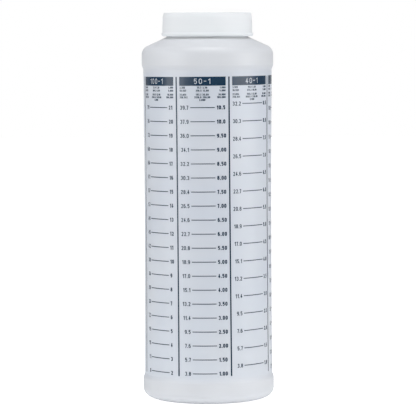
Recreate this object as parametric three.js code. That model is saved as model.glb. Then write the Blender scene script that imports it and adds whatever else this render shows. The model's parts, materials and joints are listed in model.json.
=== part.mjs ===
// Mixing bottle: a blow-moulded translucent bottle, its screw cap and the foam liner that seals them.
// Millimetres, +Z up. The origin is the centre of the ring that the bottle stands on.
import * as THREE from 'three';

// Bottle body, over its outside
const RIM_HEIGHT = 233.5; // stand to rim, without the cap
const ROLL_DIAMETER = 80.2; // over the bumper rolls above and below the print panel
const LOWER_ROLL_HEIGHT = 12.95; // stand to the lower end of the print panel's step
const UPPER_ROLL_HEIGHT = 10.15; // upper end of the panel's step to the shoulder's corner
const PANEL_RECESS = 0.95; // how far the print panel lies inside the rolls
const PANEL_WAIST = 0.35; // how much further the panel draws in at half its height
const STEP_HEIGHT = 2.6; // height over which the wall steps from a roll to the panel
const STEP_ROUND = 1.6;
const SHOULDER_SLOPE = 24.3; // degrees below the horizontal
const SHOULDER_ROUND = 6;
const HEEL_WIDTH = 8.5; // the heel's oval, from the stand ring out to the lower roll
const HEEL_HEIGHT = 6.4;

// Base: a flat stand ring round a shallow push-up
const STAND_RING_WIDTH = 5;
const PUSH_UP_HEIGHT = 3;
const PUSH_UP_RUN = 5; // how far in the push-up takes to rise
const PUSH_UP_ROUND = 2.5;
const STAND_RING_ROUND = 1.2;

// Neck
const NECK_DIAMETER = 49.8;
const NECK_HEIGHT = 12.5; // shoulder to rim
const NECK_ROUND = 0.9;
const RIM_ROUND = 0.5;

// Walls
const BODY_WALL = 1.1;
const BASE_WALL = 1.4;
const NECK_WALL = 1.7;

// Liner
const LINER_THICKNESS = 1;
const LINER_OVERHANG = 0.3; // how far the liner reaches past the neck
const LINER_CLEARANCE = 0.2; // liner to the pocket in the cap

// Screw cap
const CAP_TOP_WALL = 1.3;
const SKIRT_WALL = 1;
const THREAD_ROOM = 1.6; // neck to the skirt's inside, where the two threads turn in each other
const FOOT_GAP = 0.5; // shoulder to the foot of the cap
const CROWN_SETBACK = 0.75; // how far the cap's top edge stands in from the skirt
const CROWN_BEVEL_HEIGHT = 2.2;
const CROWN_ROUND = 0.7;
const SKIRT_DRAFT = 0.3; // how much the skirt narrows from its bead to the bevel
const BEAD_HEIGHT = 2.1;
const BEAD_PROUD = 0.5;
const BEAD_ROUND = 0.6;
const FOOT_ROUND = 0.3; // lower edge of the bead
const POCKET_MARGIN = 0.8; // how far the liner's pocket runs on below the liner
const POCKET_TAPER = 1.6; // height over which the pocket widens to the skirt's inside
const FOOT_CHAMFER = 0.4;

// Fineness of the round forms
const SIDES = 64;
const ARC_STEP = THREE.MathUtils.degToRad(18);
const BOW_STEPS = 6;
const MIN_REACH = 0.05;

// One corner of a profile, in (radius, height). round is the fillet there: a radius, or for an oval
// fillet its reach back and its reach ahead. wall is the thickness of the stretch that starts there,
// and bow how far that stretch dips towards the axis at its middle.
function corner(radius, height, { round = 0, wall = 0, bow = 0 } = {}) {
  return { at: new THREE.Vector2(radius, height), round, wall, bow };
}

// How far the fillet of a corner reaches back and ahead along its two stretches.
function filletReach(before, { at, round }, after) {
  if (Array.isArray(round)) return [...round];
  const reach = round / Math.tan(halfAngleAt(before, at, after));
  return [reach, reach];
}

function halfAngleAt(before, at, after) {
  const back = before.clone().sub(at).normalize();
  const ahead = after.clone().sub(at).normalize();
  return Math.acos(back.dot(ahead)) / 2;
}

// The fillet of a corner as points on a conic: an arc of a circle where both reaches are the same.
function filletPoints(before, at, after, [reachBack, reachAhead]) {
  if (reachBack < MIN_REACH || reachAhead < MIN_REACH) return [at.clone()];
  const halfAngle = halfAngleAt(before, at, after);
  const start = at.clone().lerp(before, reachBack / at.distanceTo(before));
  const end = at.clone().lerp(after, reachAhead / at.distanceTo(after));
  const steps = Math.max(1, Math.round((Math.PI - 2 * halfAngle) / ARC_STEP));
  return Array.from({ length: steps + 1 }, (_, i) => {
    const share = i / steps;
    const weights = [(1 - share) ** 2, 2 * share * (1 - share) * Math.sin(halfAngle), share ** 2];
    const total = weights[0] + weights[1] + weights[2];
    return new THREE.Vector2()
      .addScaledVector(start, weights[0] / total)
      .addScaledVector(at, weights[1] / total)
      .addScaledVector(end, weights[2] / total);
  });
}

// The reaches of all fillets, shortened where two of them would need more than their stretch.
function fittedReaches(corners) {
  const inner = corners.slice(1, -1);
  const reaches = inner.map((here, i) => filletReach(corners[i].at, here, corners[i + 2].at));
  const fitted = [[0, 0], ...reaches, [0, 0]];
  corners.slice(1).forEach((here, i) => {
    const length = here.at.distanceTo(corners[i].at);
    const share = Math.min(1, length / (fitted[i][1] + fitted[i + 1][0] + MIN_REACH));
    fitted[i][1] *= share;
    fitted[i + 1][0] *= share;
  });
  return fitted;
}

// A list of corners as the points of its outline, with fillets and bowed stretches drawn out.
function outlinePoints(corners) {
  const reaches = fittedReaches(corners);
  const points = [corners[0].at.clone()];
  corners.slice(1).forEach((here, i) => {
    const after = corners[i + 2] ?? here;
    const rounded = filletPoints(corners[i].at, here.at, after.at, reaches[i + 1]);
    if (corners[i].bow) points.push(...bowPoints(points.at(-1), rounded[0], corners[i].bow));
    points.push(...rounded);
  });
  return points;
}

// The points between two ends of a stretch that dips towards the axis by bow at its middle.
function bowPoints(from, to, bow) {
  return Array.from({ length: BOW_STEPS - 1 }, (_, i) => {
    const share = (i + 1) / BOW_STEPS;
    const point = from.clone().lerp(to, share);
    point.x -= bow * 4 * share * (1 - share);
    return point;
  });
}

// A fillet on the inside of a wall: it grows by the amount given, and is passed in the other direction.
function insideRound(round, growth) {
  const grown = [round].flat().map((size) => Math.max(0, size + growth));
  return grown.length > 1 ? grown.reverse() : grown[0];
}

// The corners of a shell's inside, from the neck back down to the base: each stretch moves in by its
// own wall, and neighbours meet again.
function insideCorners(outside) {
  const stretches = outside.slice(0, -1).map((here, i) => {
    const along = outside[i + 1].at.clone().sub(here.at).normalize();
    const inward = new THREE.Vector2(-along.y, along.x);
    return { through: here.at.clone().addScaledVector(inward, here.wall), along };
  });
  const corners = outside.slice(1, -1).map((here, i) => {
    const [before, after] = [stretches[i], stretches[i + 1]];
    const turn = before.along.cross(after.along);
    const travel = after.through.clone().sub(before.through).cross(after.along) / turn;
    const at = before.through.clone().addScaledVector(before.along, travel);
    return corner(at.x, at.y, {
      round: insideRound(here.round, turn > 0 ? -here.wall : here.wall),
      bow: outside[i].bow,
    });
  });
  return corners.reverse();
}

// A profile turned round the Z axis.
function revolve(corners) {
  const points = outlinePoints(corners);
  return new THREE.LatheGeometry(points, SIDES).rotateX(Math.PI / 2);
}

const rollRadius = ROLL_DIAMETER / 2;
const panelRadius = rollRadius - PANEL_RECESS;
const neckRadius = NECK_DIAMETER / 2;
const neckBase = RIM_HEIGHT - NECK_HEIGHT;

// The bottle: base, heel, lower roll, waisted print panel, upper roll, shoulder and neck in one shell.
function bottleGeometry() {
  const ringInside = rollRadius - HEEL_WIDTH - STAND_RING_WIDTH;
  const panelBottom = LOWER_ROLL_HEIGHT + STEP_HEIGHT;
  const shoulderDrop = (rollRadius - neckRadius) * Math.tan(THREE.MathUtils.degToRad(SHOULDER_SLOPE));
  const shoulderCorner = neckBase - shoulderDrop;
  const upperRollFoot = shoulderCorner - UPPER_ROLL_HEIGHT;
  const panelTop = upperRollFoot - STEP_HEIGHT;
  const base = { wall: BASE_WALL };
  const body = { wall: BODY_WALL };
  const step = { wall: BODY_WALL, round: STEP_ROUND };

  const outside = [
    corner(0, PUSH_UP_HEIGHT, base),
    corner(ringInside - PUSH_UP_RUN, PUSH_UP_HEIGHT, { ...base, round: PUSH_UP_ROUND }),
    corner(ringInside, 0, { ...base, round: STAND_RING_ROUND }),
    corner(rollRadius, 0, { ...body, round: [HEEL_WIDTH, HEEL_HEIGHT] }),
    corner(rollRadius, LOWER_ROLL_HEIGHT, step),
    corner(panelRadius, panelBottom, { ...step, bow: PANEL_WAIST }),
    corner(panelRadius, panelTop, step),
    corner(rollRadius, upperRollFoot, step),
    corner(rollRadius, shoulderCorner, { ...body, round: SHOULDER_ROUND }),
    corner(neckRadius, neckBase, { wall: NECK_WALL, round: NECK_ROUND }),
    corner(neckRadius, RIM_HEIGHT, { round: RIM_ROUND }),
  ];
  return revolve([
    ...outside,
    corner(neckRadius - NECK_WALL, RIM_HEIGHT, { round: RIM_ROUND }),
    ...insideCorners(outside),
    corner(0, PUSH_UP_HEIGHT + BASE_WALL),
  ]);
}

const linerRadius = neckRadius + LINER_OVERHANG;

// The liner: a disc of foam, from the rim upwards.
function linerGeometry() {
  return revolve([
    corner(0, 0),
    corner(linerRadius, 0),
    corner(linerRadius, LINER_THICKNESS),
    corner(0, LINER_THICKNESS),
  ]);
}

// The cap, from the rim of the neck: crown, bevel, drafted skirt and the bead round its foot.
function capGeometry() {
  const top = LINER_THICKNESS + CAP_TOP_WALL;
  const foot = FOOT_GAP - NECK_HEIGHT;
  const beadTop = foot + BEAD_HEIGHT;
  const bevelFoot = top - CROWN_ROUND - CROWN_BEVEL_HEIGHT;
  const skirtInside = neckRadius + THREAD_ROOM;
  const skirtOutside = skirtInside + SKIRT_WALL;
  const beadOutside = skirtOutside + BEAD_PROUD;
  const crownRadius = skirtOutside - CROWN_SETBACK;
  const pocketRadius = linerRadius + LINER_CLEARANCE;
  const pocketFoot = -POCKET_MARGIN;

  return revolve([
    corner(0, LINER_THICKNESS),
    corner(pocketRadius, LINER_THICKNESS),
    corner(pocketRadius, pocketFoot),
    corner(skirtInside, pocketFoot - POCKET_TAPER),
    corner(skirtInside, foot + FOOT_CHAMFER),
    corner(skirtInside + FOOT_CHAMFER, foot),
    corner(beadOutside, foot, { round: FOOT_ROUND }),
    corner(beadOutside, beadTop, { round: BEAD_ROUND }),
    corner(skirtOutside, beadTop),
    corner(skirtOutside - SKIRT_DRAFT, bevelFoot),
    corner(crownRadius, top - CROWN_ROUND),
    corner(crownRadius, top, { round: CROWN_ROUND }),
    corner(0, top),
  ]);
}

function plastic(color, roughness) {
  return new THREE.MeshStandardMaterial({ color, roughness, metalness: 0 });
}

function piece(name, geometry, material) {
  const mesh = new THREE.Mesh(geometry, material);
  mesh.name = name;
  return mesh;
}

// The closure sits on the rim of the neck: the liner first, and the cap over it.
const closure = new THREE.Group();
closure.position.z = RIM_HEIGHT;
closure.add(
  piece('cap_liner', linerGeometry(), plastic(0xf2f1ec, 0.8)),
  piece('screw_cap', capGeometry(), plastic(0xeef2f4, 0.4)),
);

const mixingBottle = new THREE.Group();
mixingBottle.add(piece('bottle', bottleGeometry(), plastic(0xd6dbe4, 0.35)), closure);

export default mixingBottle;
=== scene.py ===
"""A mixing bottle: blown shell, screw cap with its liner, both threads and the printed scale."""

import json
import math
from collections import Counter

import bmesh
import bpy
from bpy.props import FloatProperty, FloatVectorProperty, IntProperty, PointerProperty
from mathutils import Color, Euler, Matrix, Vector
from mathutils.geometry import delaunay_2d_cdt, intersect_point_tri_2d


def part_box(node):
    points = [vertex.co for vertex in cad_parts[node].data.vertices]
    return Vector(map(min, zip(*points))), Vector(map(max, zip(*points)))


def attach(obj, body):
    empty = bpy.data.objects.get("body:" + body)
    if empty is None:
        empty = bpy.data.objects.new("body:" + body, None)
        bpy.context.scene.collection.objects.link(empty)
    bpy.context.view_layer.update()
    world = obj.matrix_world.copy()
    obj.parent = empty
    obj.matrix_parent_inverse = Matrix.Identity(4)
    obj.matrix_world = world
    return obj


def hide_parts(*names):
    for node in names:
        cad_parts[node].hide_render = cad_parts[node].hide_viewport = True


bl_info = {
    "name": "Mixing bottle",
    "version": (1, 0, 0),
    "blender": (4, 5, 0),
    "location": "View3D > Sidebar > Mixing bottle",
    "description": "Builds the visible pieces of a mixing bottle round its CAD frame, and a studio",
    "category": "Add Mesh",
}

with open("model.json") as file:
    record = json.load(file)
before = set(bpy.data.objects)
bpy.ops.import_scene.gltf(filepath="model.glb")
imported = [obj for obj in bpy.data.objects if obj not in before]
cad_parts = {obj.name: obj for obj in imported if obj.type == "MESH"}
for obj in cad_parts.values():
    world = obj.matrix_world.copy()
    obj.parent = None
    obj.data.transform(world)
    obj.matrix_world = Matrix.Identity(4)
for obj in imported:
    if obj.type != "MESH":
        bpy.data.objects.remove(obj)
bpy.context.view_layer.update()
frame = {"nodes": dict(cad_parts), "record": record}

MM = 0.001
SNAP = 1e-6
FULL_TURN = 2 * math.pi

bottle_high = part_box("bottle")[1]
cap_low, cap_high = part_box("screw_cap")


# Sizes and colours


def length(name, description, millimetres):
    size = millimetres * MM
    return FloatProperty(name=name, description=description, default=size, subtype="DISTANCE", precision=5)


def angle(name, description, degrees):
    turn = math.radians(degrees)
    return FloatProperty(name=name, description=description, default=turn, subtype="ANGLE")


def share(name, description, default):
    return FloatProperty(name=name, description=description, default=default, min=0, max=1)


def power(name, description, watts):
    return FloatProperty(name=name, description=description, default=watts, min=0, unit="POWER")


def amount(name, description, default, least):
    return IntProperty(name=name, description=description, default=default, min=least)


def colour(name, description, *shown):
    """A colour property from the red, green and blue that a screen shows, 0 to 255."""
    linear = Color([channel / 255 for channel in shown]).from_srgb_to_scene_linear()
    return FloatVectorProperty(
        name=name, description=description, default=(*linear, 1), size=4, min=0, max=1, subtype="COLOR"
    )


class ShellSizes(bpy.types.PropertyGroup):
    """Sizes of the turned pieces and of the marks that moulding leaves on them."""

    sides: amount("Sides", "Faces round each turned piece", 192, least=24)
    seam_width: length("Seam width", "Width of the line where the mould halves met", 0.7)
    seam_height: length("Seam height", "How far that line stands out of the wall", 0.07)
    seam_turn: angle("Seam turn", "Turn of the two seams from the bottle's sides", 4)
    pinch_length: length("Pinch-off length", "Length of the welded ridge under the base", 36)
    pinch_width: length("Pinch-off width", "Width of that ridge", 1.6)
    pinch_height: length("Pinch-off height", "How far that ridge stands down", 0.7)
    foot_round: length("Foot round", "Radius of the lower edge of the cap's bead", 0.9)
    liner_bulge: length("Liner bulge", "How far the foam swells beside the rim that presses it", 0.09)
    gate_radius: length("Gate radius", "Radius of the moulding mark on top of the cap", 1.6)
    gate_depth: length("Gate depth", "Depth of that mark", 0.2)


class ThreadSizes(bpy.types.PropertyGroup):
    """Sizes that the neck's thread and the cap's thread share."""

    turns: FloatProperty(name="Turns", description="Turns of each thread", default=1.5, min=0.5, max=3)
    depth: length("Depth", "How far a thread stands out of its wall", 1.12)
    width: length("Width", "Height of a thread at its wall", 1.9)
    sink: length("Sink", "How far a thread's foot reaches into its wall", 0.15)
    rim_margin: length("Rim margin", "From the rim down to the upper end of the neck's thread", 1.7)
    run_out: angle("Run-out", "Turn over which a thread fades out at each end", 35)
    steps: amount("Steps", "Steps of a thread in one turn", 72, least=12)


class ScaleSizes(bpy.types.PropertyGroup):
    """Layout of the printed scale on the panel."""

    column_pitch: angle("Column pitch", "Turn from one column to the next", 47.7)
    front_centre: angle("Front column", "Turn of the front column's middle from the front", -4.15)
    bar_inset: angle("Bar inset", "From a column's rule to its heading bar", 3.0)
    bar_top: length("Bar top", "Height of the upper edge of the heading bars", 197.4)
    bar_bottom: length("Bar bottom", "Height of the lower edge of the heading bars", 192.05)
    rule_bottom: length("Rule bottom", "Height of the lower end of the rules", 17.45)
    rule_width: length("Rule width", "Width of the rules between the columns", 0.9)
    mark_width: length("Mark width", "Thickness of a mark's line", 0.47)
    mark_left: angle("Mark left", "From a column's middle to the left end of its marks", 10.8)
    mark_right: angle("Mark right", "To the right end, where the numbers are short", 13.9)
    mark_right_wide: angle("Mark right, wide", "To the right end, where they are long", 10.9)
    number_gap: angle("Number gap", "From the end of a mark to its number", 1.65)
    number_height: length("Number height", "Height of the figures beside the marks", 2.45)
    number_stroke: length("Number stroke", "Width of their strokes, in the litres", 0.44)
    number_bold: length("Bold stroke", "Width of their strokes, in the gallons", 0.56)
    ratio_height: length("Ratio height", "Height of the figures in a heading bar", 3.2)
    ratio_stroke: length("Ratio stroke", "Width of their strokes", 0.44)
    table_height: length("Table height", "Height of the small figures under a heading", 1.2)
    table_stroke: length("Table stroke", "Width of their strokes", 0.33)
    table_edge: angle("Table edge", "From a column's middle to the sides of its table", 20.6)
    lean: angle("Lean", "How far the print is turned, as the bottle stood in the printing jig", 0.34)
    lean_middle: length("Lean middle", "Height on the front about which it is turned", 115)
    low_mark: length("Low mark", "Height of the mark for the low volume", 19.15)
    low_volume: FloatProperty(
        name="Low volume", description="Volume at the low mark, in millilitres", default=75.708
    )
    panel_area: FloatProperty(
        name="Panel area", description="Inside area of the panel", default=0.004499, unit="AREA", precision=7
    )
    ink_thickness: length("Ink thickness", "How far the ink stands out of the wall", 0.04)
    ink_sink: length("Ink sink", "How far the ink reaches into the wall", 0.02)


class Finishes(bpy.types.PropertyGroup):
    """Colours of the plastics, the foam and the ink."""

    shell: colour("Bottle", "Undyed polyethylene", 207, 210, 215)
    shell_cloud: colour("Bottle, thick", "The same where the wall is thicker", 212, 215, 220)
    # The same, a little darker and bluer over the printed panel
    shell_panel: colour("Bottle, panel", "The same with the ink of the far side behind it", 200, 206, 216)
    # The panel, lighter towards the base
    shell_low: colour("Bottle, low", "The panel in its thicker wall towards the base", 205, 211, 220)
    # Whiter on the neck and the top of the shoulder: partly as the thicker wall is, and partly painted light
    # that lifts the shade under the cap's foot
    shell_neck: colour("Bottle, neck", "The same in the neck's much thicker wall", 241, 243, 246)
    cap: colour("Cap", "White polypropylene", 227, 230, 233)
    cap_cloud: colour("Cap, shaded", "The same in its slight flow marks", 224, 228, 231)
    foam: colour("Liner", "Foam of the liner", 240, 239, 233)
    # Painted shade: the foam's own colour, darker where the pores sink in
    foam_cells: colour("Liner cells", "The same in the pores", 222, 221, 215)
    ink: colour("Ink", "Dark blue ink of the scale", 16, 44, 67)
    ink_thin: colour("Ink, thin", "The same where less of it lies", 29, 58, 82)


class StudioSizes(bpy.types.PropertyGroup):
    """Camera, lights and floor."""

    camera_distance: length("Camera distance", "From the bottle's axis to the camera", 1611.9)
    camera_height: length("Camera height", "Height of the camera above the floor", 223.75)
    camera_offset: length("Camera offset", "Offset of the camera to the right", -0.05)
    camera_tilt: angle("Camera tilt", "How far the camera looks down", 3.81)
    camera_roll: angle("Camera roll", "Turn of the camera about its line of sight", -0.23)
    camera_lens: FloatProperty(name="Lens", description="Focal length in millimetres", default=228.2, min=1)
    floor_size: length("Floor size", "Side of the floor", 8000)
    floor_glow: share("Floor glow", "What the floor adds for the camera, to show as white", 0.9)
    white_reach: length("White reach", "From the bottle's axis to where the floor is all white", 1000)
    floor_light: share("Floor light", "What the floor, as a light table, gives to the bottle", 0.02)
    floor_near: share("Floor near", "The same close to the bottle", 0.2)
    near_reach: length("Near reach", "From the bottle's axis to where that has faded", 130)
    ambient: share("Ambient", "Light from all round", 0.2)
    box_distance: length("Box distance", "From the bottle to the upright soft boxes", 1000)
    box_middle: length("Box middle", "Height of the middle of the soft boxes", 235)
    box_height: length("Box height", "Height of the soft boxes", 660)
    left_turn: angle("Left turn", "Turn of the left soft box from the front", -61)
    left_width: length("Left width", "Width of the left soft box", 700)
    left_power: power("Left power", "Power of the left soft box", 5.3)
    fill_turn: angle("Fill turn", "Turn of the weak box that fills in at the left front", -33)
    fill_width: length("Fill width", "Width of that box", 300)
    fill_power: power("Fill power", "Power of that box", 0.8)
    right_turn: angle("Right turn", "Turn of the right soft box from the front", 66)
    right_width: length("Right width", "Width of the right soft box", 860)
    right_power: power("Right power", "Power of the right soft box", 6.9)
    top_distance: length("Top distance", "Height of the overhead soft box", 1250)
    top_forward: length("Top forward", "From the bottle's axis forward to that box", 225)
    top_size: length("Top size", "Side of the overhead soft box", 700)
    top_power: power("Top power", "Power of the overhead soft box", 8.0)


class MixingBottle(bpy.types.PropertyGroup):
    """All that a user can set."""

    shell: PointerProperty(type=ShellSizes)
    thread: PointerProperty(type=ThreadSizes)
    scale: PointerProperty(type=ScaleSizes)
    finish: PointerProperty(type=Finishes)
    studio: PointerProperty(type=StudioSizes)


def settings():
    return bpy.context.scene.mixing_bottle


# Nodes


def feed(tree, node, inputs):
    """Fills a node's inputs, each with a value or from another node's socket."""
    for key, value in inputs.items():
        if isinstance(value, bpy.types.NodeSocket):
            tree.links.new(value, node.inputs[key])
        else:
            node.inputs[key].default_value = value


def add_node(tree, kind, inputs=None, **values):
    """A new node with its settings and inputs."""
    node = tree.nodes.new(kind)
    for key, value in values.items():
        setattr(node, key, value)
    feed(tree, node, inputs or {})
    return node


def output(tree, kind, inputs=None, **values):
    """The first output of a new node."""
    return add_node(tree, kind, inputs, **values).outputs[0]


def maths(tree, operation, *values):
    return output(tree, "ShaderNodeMath", dict(enumerate(values)), operation=operation)


def vector_maths(tree, operation, first, second):
    inputs = {0: first, ("Scale" if operation == "SCALE" else 1): second}
    return output(tree, "ShaderNodeVectorMath", inputs, operation=operation)


def combined(tree, **parts):
    """A vector of the parts named, which are X, Y or Z."""
    return output(tree, "ShaderNodeCombineXYZ", parts)


def parts_of(tree, vector):
    """The X, Y and Z of a vector."""
    return add_node(tree, "ShaderNodeSeparateXYZ", {0: vector}).outputs


def map_range(tree, value, low, high, first=0, last=1, kind="LINEAR"):
    """A value that goes from first to last while another goes from low to high."""
    limits = {"Value": value, "From Min": low, "From Max": high, "To Min": first, "To Max": last}
    return output(tree, "ShaderNodeMapRange", limits, interpolation_type=kind)


def mixed_value(tree, factor, first, second):
    return output(tree, "ShaderNodeMix", {0: factor, 2: first, 3: second}, data_type="FLOAT")


def mixed_colour(tree, factor, first, second):
    inputs = {0: factor, 6: first, 7: second}
    return add_node(tree, "ShaderNodeMix", inputs, data_type="RGBA").outputs[2]


def node_group(name, kind, inputs, outputs):
    """A new node group, its input node and its output node, with the sockets named."""
    tree = bpy.data.node_groups.new(name, kind)
    for in_out, sockets in (("INPUT", inputs), ("OUTPUT", outputs)):
        for socket_name, socket_type in sockets.items():
            tree.interface.new_socket(socket_name, in_out=in_out, socket_type=socket_type)
    return tree, tree.nodes.new("NodeGroupInput"), tree.nodes.new("NodeGroupOutput")


def finished_tree(name, make):
    """The node tree of that name, made the first time it is asked for."""
    return bpy.data.node_groups.get(name) or make(name)


# Geometry trees

FLOAT, INT, GEOMETRY = "NodeSocketFloat", "NodeSocketInt", "NodeSocketGeometry"
OBJECT, MATERIAL = "NodeSocketObject", "NodeSocketMaterial"
PRINT_INPUTS = {
    "Surface": OBJECT,
    "Radius": FLOAT,
    "Lean": FLOAT,
    "Lean Middle": FLOAT,
    "Thickness": FLOAT,
    "Sink": FLOAT,
    "Material": MATERIAL,
}
MARK_POINTS = 16  # along a mark, so that it can follow the wall
THREAD_PROFILE_POINTS = 17  # round the section of a thread
THREAD_FULLNESS = 0.6  # power of a sine that gives the crest: the lower, the fuller


def geometry_tree(name, inputs):
    """A new tree for a piece's mesh, the sockets of its inputs, and its output node."""
    geometry = {"Geometry": GEOMETRY}
    tree, start, end = node_group(name, "GeometryNodeTree", geometry | inputs, geometry)
    return tree, start.outputs, end


def position(tree):
    """The X, Y and Z of each point."""
    return parts_of(tree, output(tree, "GeometryNodeInputPosition"))


def merged(tree, geometry):
    return output(tree, "GeometryNodeMergeByDistance", {"Geometry": geometry, "Distance": SNAP})


def moved(tree, geometry, place):
    return output(tree, "GeometryNodeSetPosition", {"Geometry": geometry, "Position": place})


def finish_tree(tree, geometry, material, end):
    """The last two nodes of every tree: instances made real, and the material set."""
    realized = output(tree, "GeometryNodeRealizeInstances", {0: geometry})
    coloured = {"Geometry": realized, "Material": material}
    feed(tree, end, {0: output(tree, "GeometryNodeSetMaterial", coloured)})
    return tree


def print_on_surface_tree(name):
    """Wraps a flat print, in arc length and height, round the Z axis on to a surface."""
    tree, get, end = geometry_tree(name, PRINT_INPUTS)
    flat = get["Geometry"]
    thickness = maths(tree, "ADD", get["Thickness"], get["Sink"])
    raising = {"Mesh": flat, "Offset Scale": thickness, "Individual": False}
    both = tree.nodes.new("GeometryNodeJoinGeometry")
    feed(tree, both, {0: output(tree, "GeometryNodeExtrudeMesh", raising)})
    feed(tree, both, {0: output(tree, "GeometryNodeFlipFaces", {"Mesh": flat})})

    place = position(tree)
    below = maths(tree, "SUBTRACT", get["Lean Middle"], place["Y"])
    along = maths(tree, "MULTIPLY_ADD", below, get["Lean"], place["X"])
    upward = maths(tree, "MULTIPLY_ADD", place["X"], get["Lean"], place["Y"])
    turn = maths(tree, "DIVIDE", along, get["Radius"])
    backward = maths(tree, "MULTIPLY", maths(tree, "COSINE", turn), -1.0)
    outward = combined(tree, X=maths(tree, "SINE", turn), Y=backward)
    far_out = maths(tree, "MULTIPLY", get["Radius"], 2.0)
    from_axis = vector_maths(tree, "SCALE", outward, far_out)
    surface = add_node(tree, "GeometryNodeObjectInfo", {"Object": get["Surface"]})
    ray = {
        "Target Geometry": surface.outputs["Geometry"],
        "Source Position": vector_maths(tree, "ADD", from_axis, combined(tree, Z=upward)),
        "Ray Direction": vector_maths(tree, "SCALE", outward, -1.0),
        "Ray Length": far_out,
    }
    wall = add_node(tree, "GeometryNodeRaycast", ray).outputs["Hit Position"]
    height = maths(tree, "SUBTRACT", place["Z"], get["Sink"])
    on_wall = vector_maths(tree, "ADD", wall, vector_maths(tree, "SCALE", outward, height))
    wrapped = moved(tree, merged(tree, both.outputs[0]), on_wall)
    return finish_tree(tree, wrapped, get["Material"], end)


def scale_marks_tree(name):
    """A column of level marks at even heights, printed on a surface."""
    layout = dict.fromkeys(("Lowest", "Step", "Middle", "Length", "Width"), FLOAT)
    tree, get, end = geometry_tree(name, {"Count": INT} | layout | PRINT_INPUTS)
    row = {
        "Count": get["Count"],
        "Start Location": combined(tree, X=get["Middle"], Y=get["Lowest"]),
        "Offset": combined(tree, Y=get["Step"]),
    }
    places = output(tree, "GeometryNodeMeshLine", row, mode="OFFSET")
    size = {"Size X": get["Length"], "Size Y": get["Width"], "Vertices X": MARK_POINTS, "Vertices Y": 2}
    mark = output(tree, "GeometryNodeMeshGrid", size)
    marks = output(tree, "GeometryNodeInstanceOnPoints", {"Points": places, "Instance": mark})
    flat = output(tree, "GeometryNodeRealizeInstances", {0: marks})
    printing = {"Geometry": flat} | {key: get[key] for key in PRINT_INPUTS}
    printer = finished_tree("Print on surface", print_on_surface_tree)
    printed = output(tree, "GeometryNodeGroup", printing, node_tree=printer)
    return finish_tree(tree, printed, get["Material"], end)


def screw_thread_tree(name):
    """A right-handed thread round the Z axis: a rounded closed ridge that fades out at both ends."""
    sizes = ("Radius", "Lead", "Turns", "Lowest", "Depth", "Width", "Sink", "Run-out")
    inputs = dict.fromkeys(sizes, FLOAT) | {"Steps": INT, "Material": MATERIAL}
    tree, get, end = geometry_tree(name, inputs)
    whole_turn = maths(tree, "MULTIPLY", get["Turns"], FULL_TURN)
    steps = maths(tree, "MULTIPLY", get["Turns"], get["Steps"])
    grid = {
        "Size X": whole_turn,
        "Size Y": 2.0,
        "Vertices X": maths(tree, "ADD", steps, 1.0),
        "Vertices Y": THREAD_PROFILE_POINTS,
    }
    strip = output(tree, "GeometryNodeMeshGrid", grid)
    place = position(tree)
    turned = maths(tree, "ADD", place["X"], maths(tree, "MULTIPLY", whole_turn, 0.5))
    to_end = maths(tree, "MINIMUM", turned, maths(tree, "SUBTRACT", whole_turn, turned))
    faded = maths(tree, "MINIMUM", maths(tree, "DIVIDE", to_end, get["Run-out"]), 1.0)
    fullness = maths(tree, "SINE", maths(tree, "MULTIPLY", faded, math.pi / 2))
    # Across the strip, the profile goes once round: over the crest and back under the foot
    round_profile = maths(tree, "MULTIPLY", place["Y"], math.pi)
    rise = maths(tree, "SINE", round_profile)
    crest = maths(tree, "POWER", maths(tree, "MAXIMUM", rise, 0.0), THREAD_FULLNESS)
    foot = maths(tree, "MULTIPLY", maths(tree, "MINIMUM", rise, 0.0), get["Sink"])
    reach = maths(tree, "MULTIPLY_ADD", crest, get["Depth"], foot)
    radius = maths(tree, "MULTIPLY_ADD", reach, fullness, get["Radius"])
    half_width = maths(tree, "MULTIPLY", get["Width"], -0.5)
    across = maths(tree, "MULTIPLY", maths(tree, "COSINE", round_profile), half_width)
    climb = maths(tree, "MULTIPLY", maths(tree, "DIVIDE", turned, FULL_TURN), get["Lead"])
    middle = maths(tree, "ADD", get["Lowest"], climb)
    helix = combined(
        tree,
        X=maths(tree, "MULTIPLY", radius, maths(tree, "COSINE", turned)),
        Y=maths(tree, "MULTIPLY", radius, maths(tree, "SINE", turned)),
        Z=maths(tree, "MULTIPLY_ADD", across, fullness, middle),
    )
    return finish_tree(tree, merged(tree, moved(tree, strip, helix)), get["Material"], end)


def apply_tree(piece, tree, values):
    """Runs a node tree on a piece with the values named, and keeps the result as a plain mesh."""
    modifier = piece.modifiers.new(tree.name, "NODES")
    modifier.node_group = tree
    for item in tree.interface.items_tree:
        if item.in_out == "INPUT" and item.name in values:
            modifier[item.identifier] = values[item.name]
    bpy.context.view_layer.update()
    depsgraph = bpy.context.evaluated_depsgraph_get()
    mesh = bpy.data.meshes.new_from_object(piece.evaluated_get(depsgraph))
    piece.modifiers.remove(modifier)
    piece.data = mesh
    if not mesh.polygons:
        raise RuntimeError(f"{piece.name} came out empty")


# Turned pieces

ARC_PARTS = 3  # parts that a facet of an arc is divided into
ARC_LEAST = math.radians(3)  # gentler turns than this are left as they are
ARC_MOST = math.radians(25)  # sharper ones are corners
ARC_EVENNESS = 1.6  # a run this much longer than its neighbour is straight
HOLD = 0.5 * MM  # from the ends of a straight run to the points that keep it straight
HELD_RUN = 4 * HOLD  # shorter runs need no such points
SHARP = math.radians(35)  # edges sharper than this show as edges
THREAD_SHARP = math.radians(80)


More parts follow.
